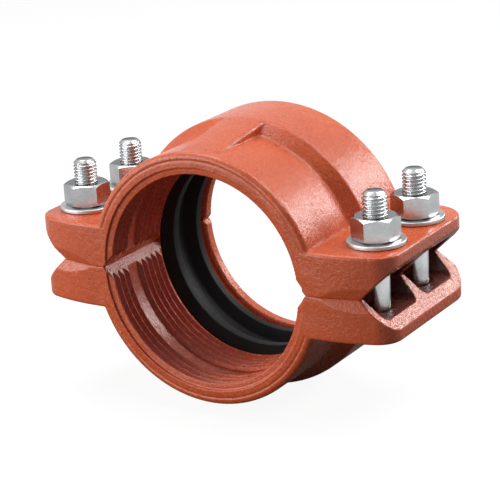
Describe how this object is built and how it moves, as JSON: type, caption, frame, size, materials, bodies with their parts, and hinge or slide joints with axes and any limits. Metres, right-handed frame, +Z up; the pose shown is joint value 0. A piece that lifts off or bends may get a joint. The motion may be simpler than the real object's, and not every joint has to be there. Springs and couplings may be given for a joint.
{
  "type": "transition coupling",
  "caption": "Two-part bolted coupling with a rubber gasket that joins a plain-end plastic pipe to a grooved steel pipe: teeth grip one pipe and a key sits in the other's groove.",
  "frame": {"origin": "on the pipe axis, in the middle of the toothed bore that grips the plastic pipe", "axes": "+Y along the pipe towards the grooved end, +Z up, away from the parting plane towards the nuts, +X to the right across the bolt pads"},
  "size_m": [0.2172, 0.099, 0.151],
  "materials": {
    "housing_paint": "glossy orange-red paint over a cast surface",
    "gasket_rubber": "satin black rubber",
    "zinc_plate": "bright zinc plate"
  },
  "bodies": {
    "lower_half": {"lower_housing": "housing_paint", "gasket": "gasket_rubber", "bolt_front_left": "zinc_plate", "bolt_rear_left": "zinc_plate", "bolt_front_right": "zinc_plate", "bolt_rear_right": "zinc_plate"},
    "upper_half": {"upper_housing": "housing_paint", "washer_front_left": "zinc_plate", "washer_rear_left": "zinc_plate", "washer_front_right": "zinc_plate", "washer_rear_right": "zinc_plate"},
    "nut_front_left": {"nut_front_left": "zinc_plate"},
    "nut_rear_left": {"nut_rear_left": "zinc_plate"},
    "nut_front_right": {"nut_front_right": "zinc_plate"},
    "nut_rear_right": {"nut_rear_right": "zinc_plate"}
  },
  "joints": [
    {"name": "housing_lift", "type": "slide", "parent": "lower_half", "child": "upper_half", "axis": [0, 0, 1], "range_m": [0, 0.012]},
    {"name": "nut_front_left_turn", "type": "hinge", "parent": "upper_half", "child": "nut_front_left", "pos_m": [-0.0897, 0.003, 0.0256], "axis": [0, 0, 1], "range_deg": [0, 2220]},
    {"name": "nut_rear_left_turn", "type": "hinge", "parent": "upper_half", "child": "nut_rear_left", "pos_m": [-0.0897, 0.0465, 0.0256], "axis": [0, 0, 1], "range_deg": [0, 2220]},
    {"name": "nut_front_right_turn", "type": "hinge", "parent": "upper_half", "child": "nut_front_right", "pos_m": [0.0897, 0.003, 0.0256], "axis": [0, 0, 1], "range_deg": [0, 2220]},
    {"name": "nut_rear_right_turn", "type": "hinge", "parent": "upper_half", "child": "nut_rear_right", "pos_m": [0.0897, 0.0465, 0.0256], "axis": [0, 0, 1], "range_deg": [0, 2220]}
  ],
  "couplings": [
    {"joint": "nut_front_left_turn", "follows": "housing_lift", "rad_per_m": 3215.8},
    {"joint": "nut_rear_left_turn", "follows": "housing_lift", "rad_per_m": 3215.8},
    {"joint": "nut_front_right_turn", "follows": "housing_lift", "rad_per_m": 3215.8},
    {"joint": "nut_rear_right_turn", "follows": "housing_lift", "rad_per_m": 3215.8}
  ]
}
